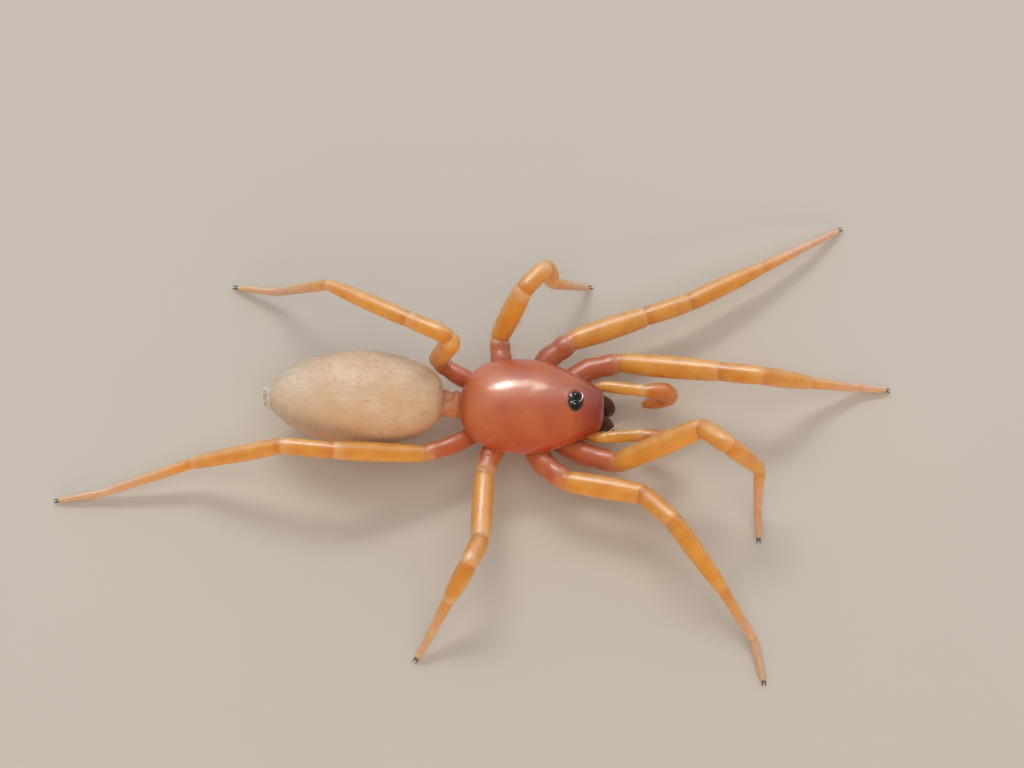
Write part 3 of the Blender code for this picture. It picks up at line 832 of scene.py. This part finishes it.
tubes = bmesh.new()
for places, height, out, thick in TUBE_ROWS:
    for place in places:
        across, length = place * TUBE_SPACING, out + TUBE_ROOT
        start = Vector((ABDOMEN_REAR + 0.10, across * 0.9, height))
        way = Vector((-1, across * 0.8, -0.1)).normalized()
        points = [start, start + way * length * 0.6, start + way * length]
        keys = [(share * length, size * TUBE_HALF * thick) for share, size in TUBE_PROFILE]
        one, *_ = sweep(points, keys, 0.2, sides=16)
        one.transform(ABDOMEN_PLACE)
        add_shape(tubes, one)
lobe = ball(4, lambda unit: ABDOMEN_PLACE @ (LOBE_MIDDLE + unit * LOBE_HALF))
add_shape(tubes, lobe)
finish_piece("silk_tubes", tubes, tube_finish, "spinnerets", ["spinnerets"])

# %% [markdown]
# ## Legs
# A spider's leg has seven parts: hip, a short ring, thigh, knee, shin, and two foot
# parts. The solids hold the real lengths and the pose, and their parts are a little
# thicker than life. Here each leg is one skin. Its half thickness is given at shares
# of each part, with a slight flare where the shell ends and a neck of membrane after
# it. One leg takes about two hundred circles.

# %% Sizes and pose of the legs
LEG_LENGTHS = {
    1: (1.84, 0.75, 1.18, 1.00, 0.57),
    2: (1.41, 0.84, 1.54, 1.08, 0.76),
    3: (1.32, 0.64, 0.84, 0.74, 0.50),
    4: (1.70, 0.93, 1.80, 1.72, 0.85),
}
LEG_THICKNESS = {1: (1.0, 1.0), 2: (1.02, 1.0), 3: (0.94, 1.0), 4: (0.80, 1.0)}
COXA_BASE_X = {1: 0.38, 2: -0.06, 3: -0.50, 4: -0.90}
COXA_BASE_Y = {1: 0.45, 2: 0.45, 3: 0.45, 4: 0.41}
COXA_BASE_Z = 0.66
COXA_RISE, COXA_CURVE = 6, 0.45
ROOT_DEPTH = 0.16               # how far a leg's skin starts inside the body
TIP_HEIGHT = 0.058
HIP = {
    ("left", 1): ((1.55, 1.00, 0.80), 14),
    ("left", 2): ((0.65, 1.36, 0.82), 40),
    ("left", 3): ((-0.66, 1.36, 0.82), 98),
    ("left", 4): ((-1.77, 0.84, 0.80), 150),
    ("right", 1): ((1.59, -0.905, 0.80), -14),
    ("right", 2): ((0.68, -1.30, 0.82), -38),
    ("right", 3): ((-0.77, -1.27, 0.82), -104),
    ("right", 4): ((-1.85, -0.95, 0.84), -156),
}
# Azimuth and pitch in degrees of thigh, knee, shin and first foot part, and the
# azimuth of the second one, whose pitch follows from where the floor is
LEG_POSE = {
    ("left", 1): ((-7, 14), (-6, 9), (12, -39), (8, -27), 2),
    ("left", 2): ((24, -3), (24, -4), (32, -6), (35, -12), 37),
    ("left", 3): ((50, 62), (54, -8), (4, -80), (27, -54), 28),
    ("left", 4): ((-25, 76), (155, -13), (153, -17), (162, -52), 169),
    ("right", 1): ((15, 36), (-41, 28), (-3, -61), (-86, -65), -84),
    ("right", 2): ((-9, 7), (-45, 22), (-47, -25), (-51, -27), -74),
    ("right", 3): ((-89, 11), (-108, 25), (-123, -44), (-118, -33), -122),
    ("right", 4): ((-172, 19), (177, -3), (-174, -25), (-162, -14), -169),
}


def leg_points(side, number):
    """Gives the corner points of a leg, from inside the body to the tip."""
    hip, coxa_heading = HIP[side, number]
    hip = Vector(hip)
    *poses, tarsus_azimuth = LEG_POSE[side, number]
    lengths = LEG_LENGTHS[number]
    joints = [hip]
    for pose, length in zip(poses, lengths):
        joints.append(joints[-1] + heading(*pose) * length)
    pitch = math.degrees(math.asin((TIP_HEIGHT - joints[-1].z) / lengths[4]))
    joints.append(joints[-1] + heading(tarsus_azimuth, pitch) * lengths[4])
    base = mirrored((COXA_BASE_X[number], COXA_BASE_Y[number], COXA_BASE_Z), SIDES[side])
    arrival = heading(coxa_heading, COXA_RISE)
    control = hip - arrival * COXA_CURVE * (hip - base).length
    root = base - (control - base).normalized() * ROOT_DEPTH
    return [root, control, *joints]


print("left leg 2 reaches", [round(value, 2) for value in leg_points("left", 2)[-1]])

# %% How thick the leg is along each part
PROFILES = (
    ((0.02, 0.180), (0.05, 0.189), (0.18, 0.201), (0.38, 0.210), (0.62, 0.210),
     (0.82, 0.200), (0.93, 0.190), (0.968, 0.187), (0.985, 0.182)),
    ((0.05, 0.174), (0.12, 0.178), (0.35, 0.182), (0.65, 0.181), (0.88, 0.174),
     (0.94, 0.172), (0.972, 0.168)),
    ((0.04, 0.165), (0.09, 0.169), (0.30, 0.172), (0.60, 0.160), (0.80, 0.142),
     (0.92, 0.126), (0.955, 0.122), (0.978, 0.118)),
    ((0.03, 0.107), (0.09, 0.108), (0.30, 0.102), (0.65, 0.090), (0.92, 0.081),
     (0.96, 0.080), (0.98, 0.077)),
    ((0.05, 0.069), (0.12, 0.072), (0.40, 0.067), (0.75, 0.055), (0.90, 0.046),
     (0.965, 0.032), (1.0, 0.010)),
)
COXA_PROFILE = ((0.0, 0.18), (0.25, 0.202), (0.45, 0.218), (0.62, 0.214), (0.70, 0.202),
                (0.735, 0.192), (0.775, 0.198), (0.84, 0.206), (0.92, 0.198), (0.965, 0.180))
RING_GROOVE = 0.735             # the share of the hip where the short ring begins
NECKS = (0.174, 0.173, 0.163, 0.112, 0.071)     # half thickness in the bend of each joint
HIP_FADE, GROOVE_WIDTH, RIM_WIDTH, FOOT_REACH = 0.035, 0.03, 0.018, 0.25
GROOVE_PALENESS, RIM_PALENESS = 0.2, 0.15
END_PLACE, END_REACH = -0.06, 0.13      # where a part is palest, from its end, and how far
START_PLACE, START_REACH = 0.04, 0.16   # where it is reddest, from its start, and how far
REDDISH_STARTS = (0.20, 0.42, 0.38, 0.24, 0.16)     # how reddish each part's start is
PALE_ENDS = {1: 0.34, 2: 0.34, 3: 0.60, 4: 0.50}    # how pale each part's end is


def limb_keys(lengths, profiles, necks):
    """Lists distances along a limb with its half thickness, and tells where it bends."""
    keys, joints, start = [], [], 0.0
    for length, profile, neck in zip(lengths, profiles, (*necks, None)):
        keys += [(start + share * length, size) for share, size in profile]
        start += length
        if neck:
            keys.append((start, neck))
            joints.append(start)
    return keys, joints


def leg_keys(points, thick):
    """Lists a leg's half thicknesses, made thinner or thicker by its own shares."""
    lengths = path_lengths(points)
    keys, joints = limb_keys((sum(lengths[:2]), *lengths[2:]), (COXA_PROFILE, *PROFILES),
                             NECKS)
    (near, far), total = thick, sum(lengths)
    return [(place, size * (near + (far - near) * place / total))
            for place, size in keys], joints


def leg_marks(joints, end_share):
    """Gives the function that tells a leg's colour marks at a distance."""
    hip = joints[0]
    ring_groove = RING_GROOVE * hip

    def mark(distance):
        red = fall(distance - hip, HIP_FADE)
        pale = GROOVE_PALENESS * hill(distance - ring_groove, GROOVE_WIDTH)
        start = 0.0
        for joint, reddish in zip(joints, REDDISH_STARTS):
            pale += RIM_PALENESS * hill(distance - joint, RIM_WIDTH)
            if distance < joint:
                pale += end_share * hill(distance - joint - END_PLACE, END_REACH)
            else:
                start += reddish * hill(distance - joint - START_PLACE, START_REACH)
        foot = (distance - joints[3] + FOOT_REACH) / (joints[4] - joints[3] + FOOT_REACH)
        return (red, min(pale, 1), min(max(foot, 0), 1), min(start, 1))

    return mark


leg_sweeps = {}
for side in SIDES:
    for number in LEG_LENGTHS:
        points = leg_points(side, number)
        keys, joints = leg_keys(points, LEG_THICKNESS[number])
        shape, *leg_sweeps[side, number] = sweep(points, keys, 0.24,
                                                 leg_marks(joints, PALE_ENDS[number]))
        solids = [f"leg_{side}_{number}_{part}"
                  for part in ("coxa", "femur", "patella", "tibia", "foot")]
        finish_piece(f"leg_skin_{side}_{number}", shape, leg_finish, "leg", solids)

# %% [markdown]
# ## Palps
# Beside the mouth are two feelers, the palps, built like short legs without the long
# foot part. Here both are folded: they reach forward and turn back down.

# %% Palps
PALP_POINTS = ((0.90, 0.38, 0.76), (1.26, 0.49, 0.94), (2.00, 0.42, 1.00),
               (2.45, 0.46, 0.92), (2.42, 0.42, 0.58), (1.95, 0.35, 0.42))
PALP_PROFILES = (
    ((0.0, 0.085), (0.5, 0.10), (0.85, 0.102), (0.95, 0.096)),
    ((0.04, 0.098), (0.14, 0.106), (0.45, 0.114), (0.80, 0.116), (0.93, 0.118),
     (0.975, 0.113)),
    ((0.08, 0.120), (0.22, 0.140), (0.55, 0.158), (0.86, 0.160), (0.94, 0.158)),
    ((0.08, 0.156), (0.25, 0.162), (0.55, 0.162), (0.85, 0.148), (0.93, 0.140)),
    ((0.08, 0.124), (0.25, 0.126), (0.55, 0.110), (0.80, 0.082), (0.94, 0.044),
     (1.0, 0.010)),
)
PALP_NECKS = (0.092, 0.110, 0.156, 0.124)

palp_sweeps = {}
for side, sign in SIDES.items():
    points = [mirrored(point, sign) for point in PALP_POINTS]
    keys, joints = limb_keys(path_lengths(points), PALP_PROFILES, PALP_NECKS)

    def palp_mark(distance, joints=joints, total=sum(path_lengths(points))):
        """Tells a palp's colour marks at a distance."""
        red = fall(distance - joints[0], 0.03)
        pale = sum(0.3 * hill(distance - joint, 0.02) for joint in joints)
        pale += 0.60 * hill(distance - joints[1] + 0.06, 0.05)
        start = 0.55 * fall(joints[1] + 0.02 - distance, 0.02)
        return (red * 0.5, min(pale, 1), 0.2 * distance / total, start)

    shape, *palp_sweeps[side] = sweep(points, keys, 0.16, palp_mark)
    solids = [f"palp_{side}_{part}" for part in ("femur", "shank", "tarsus")]
    finish_piece(f"palp_skin_{side}", shape, leg_finish, "palp", solids)

# %% [markdown]
# ## Claws
# Each leg ends in a pair of dark curved claws, each a tenth of a millimetre long, with
# a smaller one between them. They are separate pieces, because real claws are hard
# and set into the foot's soft tip.

# %% Three claws on each foot
CLAWS = ((0.020, 0.115, 0.0125), (-0.020, 0.115, 0.0125), (0.0, 0.060, 0.008))
CLAW_PROFILE = ((0, 1), (0.3, 0.95), (0.6, 0.7), (0.85, 0.4), (1, 0.12))
CLAW_ROOT, CLAW_HEIGHT, CLAW_BEND, CLAW_SPREAD = 0.035, 0.006, 1.5, 0.8


def claw_points(tip, forward, across, shift, length):
    """Gives a curve that leaves the foot's tip and bends down to the floor."""
    level = Vector((forward.x, forward.y, 0)).normalized()
    start = tip + across * shift - forward * CLAW_ROOT
    drop = start.z - CLAW_HEIGHT
    return [start + level * length * math.sin(share * CLAW_BEND)
            + across * shift * CLAW_SPREAD * share
            - UP * drop * (1 - math.cos(share * CLAW_BEND))
            for share in (0, 0.2, 0.4, 0.6, 0.8, 1.0)]


for (side, number), (rings, _) in leg_sweeps.items():
    forward = rings[-1].col[2].to_3d().normalized()
    across = UP.cross(forward).normalized()
    tip = rings[-1].translation
    claws = bmesh.new()
    for shift, length, thick in CLAWS:
        points = claw_points(tip, forward, across, shift, length)
        sizes = [(share, thick * size) for share, size in CLAW_PROFILE]
        one, *_ = sweep(points, stretched_keys(sizes, points), 0.05, sides=8)
        add_shape(claws, one)
    finish_piece(f"claws_{side}_{number}", claws, fang_finish, "foot")

# %% [markdown]
# ## Hairs
# Fine hairs cover the spider: sparse on the legs, where they lean towards the foot,
# dense and flat on the abdomen, where they lie backwards and make it look silky, and
# a few on the shield. Particle hair would be lost in the export, so each hair is a
# real mesh: a three-sided spike of a few faces that bends along its length. One spike
# is made with operators, and copies of it are joined as arrays. Every hair also gets
# a tiny patch on a texture map, at the place of its root on the skin's own unwrap.

# %% One hair, and the function that plants many
PATCH = 0.003

spike = bmesh.new()
bmesh.ops.create_cone(spike, cap_ends=True, segments=3, radius1=1, radius2=0.2, depth=1,
                      matrix=Matrix.Translation((0, 0, 0.5)))
for level in (0.33, 0.66):
    bmesh.ops.bisect_plane(spike, geom=spike.verts[:] + spike.edges[:] + spike.faces[:],
                           plane_co=(0, 0, level), plane_no=(0, 0, 1))
SPIKE_POINTS = np.array([corner.co[:] for corner in spike.verts])
SPIKE_FACES = [[corner.index for corner in face.verts] for face in spike.faces]
spike.free()


def plant_hairs(name, chance, roots, leans, lies, longest, shortest, thick, bent, unwraps,
                slot, finish):
    """Joins bent copies of the spike, one at each root, to one piece."""
    count = len(roots)
    lengths = longest * chance.uniform(shortest, 1, count)
    halves = chance.uniform(*thick, count)
    bends = chance.uniform(*bent, count)
    leans = leans / np.linalg.norm(leans, axis=1, keepdims=True)
    helper = np.where(np.abs(leans[:, 2:3]) < 0.9, [[0.0, 0.0, 1.0]], [[1.0, 0.0, 0.0]])
    first = np.cross(leans, helper)
    first /= np.linalg.norm(first, axis=1, keepdims=True)
    second = np.cross(leans, first)
    x, y, z = SPIKE_POINTS.T
    points = (roots[:, None, :]
              + leans[:, None, :] * (z[None, :, None] * lengths[:, None, None])
              + lies[:, None, :] * (z[None, :, None] ** 2 * (lengths * bends)[:, None, None])
              + first[:, None, :] * (x[None, :, None] * halves[:, None, None])
              + second[:, None, :] * (y[None, :, None] * halves[:, None, None]))
    points = (points.reshape(-1, 3) + np.array(ZERO)) * MM
    points[:, 2] = np.maximum(points[:, 2], 0)
    size = len(SPIKE_POINTS)
    faces = [[corner + size * hair for corner in face]
             for hair in range(count) for face in SPIKE_FACES]
    mesh = bpy.data.meshes.new(name)
    mesh.from_pydata(points.tolist(), [], faces)
    patch = np.array([((SPIKE_POINTS[corner, 0] + 1) / 2, SPIKE_POINTS[corner, 2])
                      for face in SPIKE_FACES for corner in face]) * PATCH
    layout = mesh.uv_layers.new(name="OFBake")
    spots = (unwraps[:, None, :] * (1 - PATCH) + patch[None, :, :]).reshape(-1)
    layout.data.foreach_set("uv", spots.astype(np.float32))
    mesh.update()
    add_piece(name, mesh, finish, slot)


print("a hair has", len(SPIKE_FACES), "faces")

# %% [markdown]
# On a leg, a hair's root is a random place on a random circle of the sweep. The
# circles stand closer at the joints, so each is chosen by the length of leg that it
# stands for. The hair leans off the skin by about forty degrees, towards the foot.

# %% Hairs of legs and palps
LEG_HAIR_HALF = (0.0028, 0.0044)        # thinnest and thickest
HAIR_LIFT = 0.65                        # how much a hair stands off the leg
ROOT_IN_LEG, ROOT_IN_BODY = 0.008, 0.006        # how deep the roots are sunk
STRAY_ON_LEG, STRAY_ON_BODY = 0.14, 0.16        # how much the hairs' directions vary


def hairs_on_sweep(name, rings, places, count, first, longest, slot, seed):
    """Plants hairs on a sweep, from a distance on, leaning along it."""
    chance = np.random.default_rng(seed)
    spacing = np.gradient(places)
    spacing[np.array(places) < first] = 0
    chosen = chance.choice(len(rings), size=count, p=spacing / spacing.sum())
    angles = chance.uniform(0, 2 * math.pi, count)
    matrices = np.array([[list(row) for row in rings[index]] for index in chosen])
    wide, tall, along = (matrices[:, :3, column] for column in range(3))
    centres = matrices[:, :3, 3]
    offsets = wide * np.cos(angles)[:, None] + tall * np.sin(angles)[:, None]
    sizes = np.linalg.norm(offsets, axis=1, keepdims=True)
    outward = offsets / sizes
    roots = centres + outward * (sizes - ROOT_IN_LEG)
    stray = chance.normal(0, STRAY_ON_LEG, (count, 3))
    leans = outward * HAIR_LIFT + along * (1 - HAIR_LIFT * 0.35) + stray
    shrink = np.clip(sizes[:, 0] / 0.2, 0.45, 1)
    unwraps = np.stack([np.array(places)[chosen] / places[-1], angles / (2 * math.pi)],
                       axis=1)
    plant_hairs(name, chance, roots, leans, along, longest * shrink, shortest=0.45,
                thick=LEG_HAIR_HALF, bent=(0.15, 0.5), unwraps=unwraps, slot=slot,
                finish=hair_finish)


for seed, ((side, number), (rings, places)) in enumerate(leg_sweeps.items()):
    hairs_on_sweep(f"leg_hairs_{side}_{number}", rings, places, count=460, first=0.55,
                   longest=0.15, slot="leg", seed=seed)
for seed, (side, (rings, places)) in enumerate(palp_sweeps.items()):
    hairs_on_sweep(f"palp_hairs_{side}", rings, places, count=170, first=0.35,
                   longest=0.20, slot="palp", seed=20 + seed)

# %% [markdown]
# On the shield and the abdomen the roots are points of the skin itself. A ball of even
# triangles has them spread evenly, so any random choice of them covers it evenly.

# %% Hairs of the abdomen and the shield
def read_corners(mesh, what):
    """Reads one vector for each corner point of a mesh."""
    values = np.empty(len(mesh.vertices) * 3)
    mesh.vertices.foreach_get(what, values)
    return values.reshape(-1, 3)


def hairs_on_ball(name, piece, keep, count, longest, lift, half, slot, seed):
    """Plants hairs on a skin, lying backwards."""
    chance = np.random.default_rng(seed)
    spots = read_corners(piece.data, "co") / MM - np.array(ZERO)
    normals = read_corners(piece.data, "normal")
    allowed = np.flatnonzero(keep(spots))
    chosen = chance.choice(allowed, size=count, replace=False)
    roots, outward = spots[chosen], normals[chosen]
    backward = np.array([[-1.0, 0, 0]]) + chance.normal(0, STRAY_ON_BODY, (count, 3))
    backward -= outward * (backward * outward).sum(axis=1, keepdims=True)
    backward /= np.linalg.norm(backward, axis=1, keepdims=True)
    leans = outward * lift + backward
    low, high = spots.min(axis=0), spots.max(axis=0)
    middle = (low + high) / 2
    angles = np.arctan2(roots[:, 1] - middle[1], roots[:, 2] - middle[2])
    unwraps = np.stack([(roots[:, 0] - low[0]) / (high[0] - low[0]),
                        angles / (2 * math.pi) + 0.5], axis=1)
    plant_hairs(name, chance, roots - outward * ROOT_IN_BODY, leans, backward, longest,
                shortest=0.5, thick=(half * 0.8, half * 1.2), bent=(0.05, 0.25),
                unwraps=unwraps, slot=slot, finish=silk_finish)


hairs_on_ball("abdomen_hairs", abdomen, lambda spots: spots[:, 0] < 0, count=6500,
              longest=0.13, lift=0.32, half=0.0023, slot="abdomen", seed=40)
hairs_on_ball("shield_hairs", shield,
              lambda spots: (spots[:, 2] > 1.02) & (spots[:, 0] < 0.62), count=24,
              longest=0.08, lift=0.9, half=0.0022, slot="carapace", seed=41)
hairs_on_ball("shield_pegs", shield,
              lambda spots: (spots[:, 2] > 1.40) & (abs(spots[:, 1]) < 0.35)
              & (spots[:, 0] < 0.62), count=11, longest=0.030, lift=3.0, half=0.007,
              slot="carapace", seed=42)

# %% [markdown]
# A few bristles are much longer than the hairs. They stand off the palps, bend back and
# catch the light, so they are separate thin sweeps.

# %% Long bristles of the palps
BRISTLES = (
    ((1.36, -0.47, 1.03), (1.42, -0.43, 1.16), (1.52, -0.38, 1.27), (1.70, -0.30, 1.36)),
    ((1.50, -0.46, 1.06), (1.66, -0.44, 1.12), (1.84, -0.42, 1.14), (2.02, -0.42, 1.12)),
    ((1.98, 0.33, 0.50), (1.88, 0.28, 0.54), (1.78, 0.26, 0.53), (1.70, 0.26, 0.49)),
    ((2.02, 0.38, 0.52), (1.95, 0.36, 0.62), (1.86, 0.37, 0.67), (1.78, 0.39, 0.68)),
)
BRISTLE_SIZES = ((0, 0.010), (0.4, 0.009), (0.8, 0.005), (1.0, 0.001))

bristles = bmesh.new()
for corners in BRISTLES:
    points = [Vector(corner) for corner in corners]
    one, *_ = sweep(points, stretched_keys(BRISTLE_SIZES, points), 0.6, sides=8)
    add_shape(bristles, one)
finish_piece("palp_bristles", bristles, silk_finish, "palp")

# %% [markdown]
# ## Floor and light
# The floor is plain, pale and matt. The photograph was taken under an open sky that
# stands low behind the spider's left side: it lays a pinkish veil over the upper half
# of the shield and the upper edges of the legs, and its brightest part makes the long
# highlight. In a studio a wide cool wall of light does the same. The real sky shines
# much more in the cuticle than it lights it, so the wall comes twice: once for the
# shine alone and once, weaker, for the light. A large weak softbox hangs above, and a
# warm one from the other side stands for the light that the sand throws back.

# %% Floor
floor_finish = plain_finish("matt_pale_paint", "D8D4CD", "D6D2CB", 12.0, 0.01,
                            Roughness=0.85, IOR=1.4)
floor_shape = bmesh.new()
bmesh.ops.create_grid(floor_shape, x_segments=4, y_segments=4, size=2.0)
place_mesh("floor", mesh_of("floor", floor_shape), floor_finish)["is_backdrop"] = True
print("floor 4 m wide")

# %% Lights
LIGHTS = {      # direction, distance, width and height in mm, watts, colour, shines, lights
    "sky_wall": ((-0.05, 0.84, 0.54), 130, (460, 150), 0.090, "ECEEF6", False, True),
    "sky_shine": ((-0.05, 0.84, 0.54), 130, (460, 150), 0.820, "E8ECF8", True, False),
    "sky_strip": ((-0.21, 0.61, 0.77), 120, (64, 20), 0.034, "FFF8EE", True, True),
    "sky_core": ((-0.215, 0.60, 0.77), 120, (26, 16), 0.040, "FFF8EE", True, False),
    "top_softbox": ((0.10, -0.25, 0.95), 200, (260, 220), 0.155, "FFF6EA", False, True),
    "sand_bounce": ((0.15, -0.92, 0.25), 120, (260, 70), 0.085, "FFC890", False, True),
}
for name, (direction, distance, size, watts, tone, shines, shows) in LIGHTS.items():
    lamp = bpy.data.lights.new(name, "AREA")
    lamp.shape = "RECTANGLE"
    lamp.size, lamp.size_y = size[0] * MM, size[1] * MM
    lamp.energy = watts
    lamp.color = colour(tone)[:3]
    holder = bpy.data.objects.new(name, lamp)
    toward = Vector(direction).normalized()
    holder.location = (ZERO + UP + toward * distance) * MM
    holder.rotation_euler = toward.to_track_quat("Z", "Y").to_euler()
    holder.visible_glossy, holder.visible_diffuse = shines, shows
    collection.objects.link(holder)

AIR_COLOUR, AIR_STRENGTH = "E6E4E2", 0.28

world = bpy.data.worlds.new("room")
world.use_nodes = True
air = world.node_tree.nodes["Background"]
air.inputs["Color"].default_value = colour(AIR_COLOUR)
air.inputs["Strength"].default_value = AIR_STRENGTH
bpy.context.scene.world = world
bpy.context.scene.view_settings.view_transform = "Standard"
print("lights:", ", ".join(LIGHTS))

# %% [markdown]
# ## Size
# The boxes of the solids and of the dressed scene are printed in millimetres.

# %% Boxes and the end
skin_box = [list(corner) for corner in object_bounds()]
for name, box in (("solids", solids_box), ("scene", skin_box)):
    print(name, [[round(value / MM, 3) for value in corner] for corner in box], "mm")
